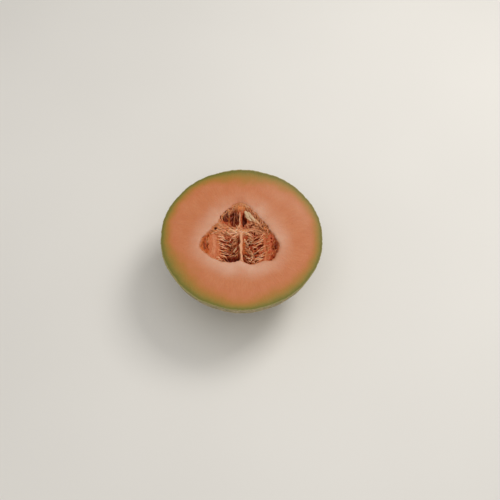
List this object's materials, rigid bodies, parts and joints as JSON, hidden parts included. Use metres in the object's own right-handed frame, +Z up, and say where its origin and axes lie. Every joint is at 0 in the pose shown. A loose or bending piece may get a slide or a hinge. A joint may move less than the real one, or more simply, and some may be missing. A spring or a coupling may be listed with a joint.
{
  "type": "cantaloupe melon half",
  "caption": "Netted cantaloupe cut across its middle, lying cut face up on its blossom end, with orange flesh and its seed pulp still in the hollow.",
  "frame": {"origin": "middle of the small flat spot at the blossom end, on the surface that the half rests on", "axes": "+Z up along the fruit's axis towards the cut face, -Y towards the viewer of the picture"},
  "size_m": [0.154, 0.155, 0.066],
  "materials": {
    "rind_and_flesh": "moist cut flesh, salmon orange, running to a green rim under a tan corky net",
    "seed_pulp": "wet fibrous pulp, orange to dark red, with cream and brown seeds"
  },
  "bodies": {
    "root": {"melon_half": "rind_and_flesh", "seed_pulp": "seed_pulp"}
  },
  "joints": []
}
